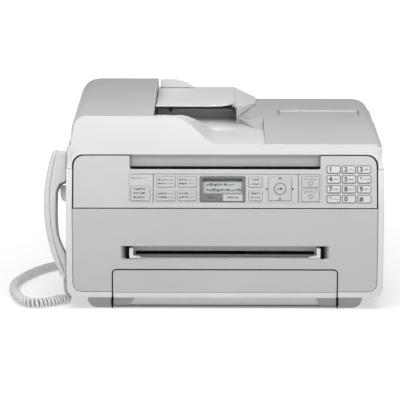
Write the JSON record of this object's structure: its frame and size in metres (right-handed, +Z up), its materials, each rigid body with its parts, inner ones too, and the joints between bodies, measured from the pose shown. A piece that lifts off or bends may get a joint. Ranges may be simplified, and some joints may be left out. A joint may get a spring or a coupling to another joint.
{
  "type": "fax machine",
  "caption": "Desktop laser fax with flatbed scanner, document feeder, sloping keypad panel, paper cassette and a side handset on a curly cord.",
  "frame": {"origin": "on the table under the middle of the machine's outline, the handset included and the cord left out", "axes": "+X to the machine's right seen from the front, +Y to its rear, +Z up"},
  "size_m": [0.4767, 0.36, 0.2435],
  "materials": {
    "shell_white": "fine grained white plastic",
    "top_light_grey": "fine grained light grey plastic",
    "front_light_grey": "fine grained light grey plastic",
    "panel_grey": "satin light grey plastic",
    "key_white": "satin light grey keys",
    "key_grey": "satin mid grey keys",
    "base_dark_grey": "dark grey plastic",
    "black_plastic": "black plastic",
    "pad_white": "white foam backing",
    "cord_white": "light grey cord jacket",
    "roller_rubber": "black rubber",
    "sheet_steel": "zinc plated steel",
    "circuit_board": "green circuit board",
    "platen_glass": "clear flat glass",
    "display_glass": "light grey liquid crystal display"
  },
  "bodies": {
    "casing": {"base_chassis": "base_dark_grey", "left_side_cover": "shell_white", "right_side_cover": "shell_white", "rear_cover": "shell_white", "front_cover": "front_light_grey", "control_panel": "panel_grey", "display_frame": "black_plastic", "display_screen": "display_glass", "control_board": "circuit_board", "toner_cartridge": "black_plastic", "handset_cradle": "shell_white", "cord_coil": "cord_white", "cord_lead": "cord_white", "cord_tail": "cord_white"},
    "scanner_unit": {"scanner_housing": "shell_white", "scanner_glass": "platen_glass"},
    "scan_carriage": {"scan_carriage": "base_dark_grey"},
    "lid": {"document_lid": "shell_white", "platen_pad": "pad_white", "right_top_cover": "top_light_grey", "document_tray": "shell_white"},
    "feeder_cover": {"feeder_cover": "top_light_grey"},
    "feed_roller": {"feed_roller": "roller_rubber"},
    "document_guide": {"document_guide": "shell_white"},
    "rear_door": {"rear_door": "shell_white"},
    "cassette": {"cassette_front": "front_light_grey", "cassette_tray": "base_dark_grey"},
    "lift_plate": {"lift_plate": "sheet_steel"},
    "pickup_roller": {"pickup_roller": "roller_rubber"},
    "fuser_roller": {"fuser_roller": "sheet_steel"},
    "exit_roller": {"exit_roller": "roller_rubber"},
    "guide_left": {"manual_guide_left": "front_light_grey"},
    "guide_right": {"manual_guide_right": "front_light_grey"},
    "handset": {"handset_outer_shell": "shell_white", "handset_inner_shell": "shell_white", "handset_plug": "cord_white"},
    "hook_switch": {"hook_switch": "front_light_grey"},
    "key_1": {"key_1": "key_white"},
    "key_2": {"key_2": "key_white"},
    "key_3": {"key_3": "key_white"},
    "key_4": {"key_4": "key_white"},
    "key_5": {"key_5": "key_white"},
    "key_6": {"key_6": "key_white"},
    "key_7": {"key_7": "key_white"},
    "key_8": {"key_8": "key_white"},
    "key_9": {"key_9": "key_white"},
    "key_0": {"key_0": "key_white"},
    "key_star": {"key_star": "key_white"},
    "key_hash": {"key_hash": "key_white"},
    "answer_mode_button": {"answer_mode_button": "key_grey"},
    "function_button_1": {"function_button_1": "key_grey"},
    "function_button_2": {"function_button_2": "key_grey"},
    "function_button_3": {"function_button_3": "key_grey"},
    "function_button_4": {"function_button_4": "key_grey"},
    "menu_button": {"menu_button": "key_grey"},
    "redial_button": {"redial_button": "key_grey"},
    "stop_button": {"stop_button": "key_grey"},
    "start_button": {"start_button": "key_grey"},
    "nav_pad": {"nav_pad": "key_grey"},
    "ok_button": {"ok_button": "key_grey"}
  },
  "joints": [
    {"name": "scanner_unit_hinge", "type": "hinge", "parent": "casing", "child": "scanner_unit", "pos_m": [0.0154, 0.178, 0.18], "axis": [-1, 0, 0], "range_deg": [0, 40]},
    {"name": "carriage_slide", "type": "slide", "parent": "scanner_unit", "child": "scan_carriage", "axis": [1, 0, 0], "range_m": [0, 0.28]},
    {"name": "lid_hinge", "type": "hinge", "parent": "scanner_unit", "child": "lid", "pos_m": [0.0154, 0.13, 0.202], "axis": [-1, 0, 0], "range_deg": [0, 70]},
    {"name": "feeder_cover_hinge", "type": "hinge", "parent": "lid", "child": "feeder_cover", "pos_m": [-0.1786, 0, 0.2055], "axis": [0, -1, 0], "range_deg": [0, 70]},
    {"name": "feed_roller_spin", "type": "hinge", "parent": "lid", "child": "feed_roller", "pos_m": [-0.1106, 0.01, 0.222], "axis": [0, 1, 0], "continuous": true},
    {"name": "document_guide_slide", "type": "slide", "parent": "lid", "child": "document_guide", "axis": [0, -1, 0], "range_m": [0, 0.06]},
    {"name": "rear_door_hinge", "type": "hinge", "parent": "casing", "child": "rear_door", "pos_m": [0.0154, 0.1784, 0.0621], "axis": [-1, 0, 0], "range_deg": [0, 80]},
    {"name": "cassette_slide", "type": "slide", "parent": "casing", "child": "cassette", "axis": [0, -1, 0], "range_m": [0, 0.25]},
    {"name": "lift_plate_hinge", "type": "hinge", "parent": "cassette", "child": "lift_plate", "pos_m": [0.0154, 0.088, 0.0066], "axis": [-1, 0, 0], "range_deg": [0, 7]},
    {"name": "pickup_roller_spin", "type": "hinge", "parent": "casing", "child": "pickup_roller", "pos_m": [0.0154, -0.118, 0.0505], "axis": [1, 0, 0], "continuous": true},
    {"name": "fuser_roller_spin", "type": "hinge", "parent": "casing", "child": "fuser_roller", "pos_m": [0.0154, 0.11, 0.104], "axis": [1, 0, 0], "continuous": true},
    {"name": "exit_roller_spin", "type": "hinge", "parent": "casing", "child": "exit_roller", "pos_m": [0.0154, -0.084, 0.165], "axis": [1, 0, 0], "continuous": true},
    {"name": "guide_left_slide", "type": "slide", "parent": "casing", "child": "guide_left", "axis": [1, 0, 0], "range_m": [0, 0.058]},
    {"name": "guide_right_slide", "type": "slide", "parent": "casing", "child": "guide_right", "axis": [-1, 0, 0], "range_m": [0, 0.058]},
    {"name": "handset_lift_off", "type": "slide", "parent": "casing", "child": "handset", "axis": [-1, 0, 0], "range_m": [0, 0.05]},
    {"name": "hook_switch_slide", "type": "slide", "parent": "casing", "child": "hook_switch", "axis": [-1, 0, 0], "range_m": [0, 0.003]},
    {"name": "key_1_press", "type": "slide", "parent": "casing", "child": "key_1", "axis": [0, 0.9438, -0.3305], "range_m": [0, 0.001], "stiffness_N_per_m": 300},
    {"name": "key_2_press", "type": "slide", "parent": "casing", "child": "key_2", "axis": [0, 0.9438, -0.3305], "range_m": [0, 0.001], "stiffness_N_per_m": 300},
    {"name": "key_3_press", "type": "slide", "parent": "casing", "child": "key_3", "axis": [0, 0.9438, -0.3305], "range_m": [0, 0.001], "stiffness_N_per_m": 300},
    {"name": "key_4_press", "type": "slide", "parent": "casing", "child": "key_4", "axis": [0, 0.9438, -0.3305], "range_m": [0, 0.001], "stiffness_N_per_m": 300},
    {"name": "key_5_press", "type": "slide", "parent": "casing", "child": "key_5", "axis": [0, 0.9438, -0.3305], "range_m": [0, 0.001], "stiffness_N_per_m": 300},
    {"name": "key_6_press", "type": "slide", "parent": "casing", "child": "key_6", "axis": [0, 0.9438, -0.3305], "range_m": [0, 0.001], "stiffness_N_per_m": 300},
    {"name": "key_7_press", "type": "slide", "parent": "casing", "child": "key_7", "axis": [0, 0.9438, -0.3305], "range_m": [0, 0.001], "stiffness_N_per_m": 300},
    {"name": "key_8_press", "type": "slide", "parent": "casing", "child": "key_8", "axis": [0, 0.9438, -0.3305], "range_m": [0, 0.001], "stiffness_N_per_m": 300},
    {"name": "key_9_press", "type": "slide", "parent": "casing", "child": "key_9", "axis": [0, 0.9438, -0.3305], "range_m": [0, 0.001], "stiffness_N_per_m": 300},
    {"name": "key_0_press", "type": "slide", "parent": "casing", "child": "key_0", "axis": [0, 0.9438, -0.3305], "range_m": [0, 0.001], "stiffness_N_per_m": 300},
    {"name": "key_star_press", "type": "slide", "parent": "casing", "child": "key_star", "axis": [0, 0.9438, -0.3305], "range_m": [0, 0.001], "stiffness_N_per_m": 300},
    {"name": "key_hash_press", "type": "slide", "parent": "casing", "child": "key_hash", "axis": [0, 0.9438, -0.3305], "range_m": [0, 0.001], "stiffness_N_per_m": 300},
    {"name": "answer_mode_button_press", "type": "slide", "parent": "casing", "child": "answer_mode_button", "axis": [0, 0.9438, -0.3305], "range_m": [0, 0.001], "stiffness_N_per_m": 300},
    {"name": "function_button_1_press", "type": "slide", "parent": "casing", "child": "function_button_1", "axis": [0, 0.9438, -0.3305], "range_m": [0, 0.001], "stiffness_N_per_m": 300},
    {"name": "function_button_2_press", "type": "slide", "parent": "casing", "child": "function_button_2", "axis": [0, 0.9438, -0.3305], "range_m": [0, 0.001], "stiffness_N_per_m": 300},
    {"name": "function_button_3_press", "type": "slide", "parent": "casing", "child": "function_button_3", "axis": [0, 0.9438, -0.3305], "range_m": [0, 0.001], "stiffness_N_per_m": 300},
    {"name": "function_button_4_press", "type": "slide", "parent": "casing", "child": "function_button_4", "axis": [0, 0.9438, -0.3305], "range_m": [0, 0.001], "stiffness_N_per_m": 300},
    {"name": "menu_button_press", "type": "slide", "parent": "casing", "child": "menu_button", "axis": [0, 0.9438, -0.3305], "range_m": [0, 0.001], "stiffness_N_per_m": 300},
    {"name": "redial_button_press", "type": "slide", "parent": "casing", "child": "redial_button", "axis": [0, 0.9438, -0.3305], "range_m": [0, 0.001], "stiffness_N_per_m": 300},
    {"name": "stop_button_press", "type": "slide", "parent": "casing", "child": "stop_button", "axis": [0, 0.9438, -0.3305], "range_m": [0, 0.001], "stiffness_N_per_m": 300},
    {"name": "start_button_press", "type": "slide", "parent": "casing", "child": "start_button", "axis": [0, 0.9438, -0.3305], "range_m": [0, 0.001], "stiffness_N_per_m": 300},
    {"name": "nav_pad_press", "type": "slide", "parent": "casing", "child": "nav_pad", "axis": [0, 0.9438, -0.3305], "range_m": [0, 0.001], "stiffness_N_per_m": 300},
    {"name": "ok_button_press", "type": "slide", "parent": "casing", "child": "ok_button", "axis": [0, 0.9438, -0.3305], "range_m": [0, 0.001], "stiffness_N_per_m": 300}
  ],
  "couplings": [
    {"joint": "guide_right_slide", "follows": "guide_left_slide", "ratio": 1},
    {"joint": "hook_switch_slide", "follows": "handset_lift_off", "ratio": 0.06}
  ]
}
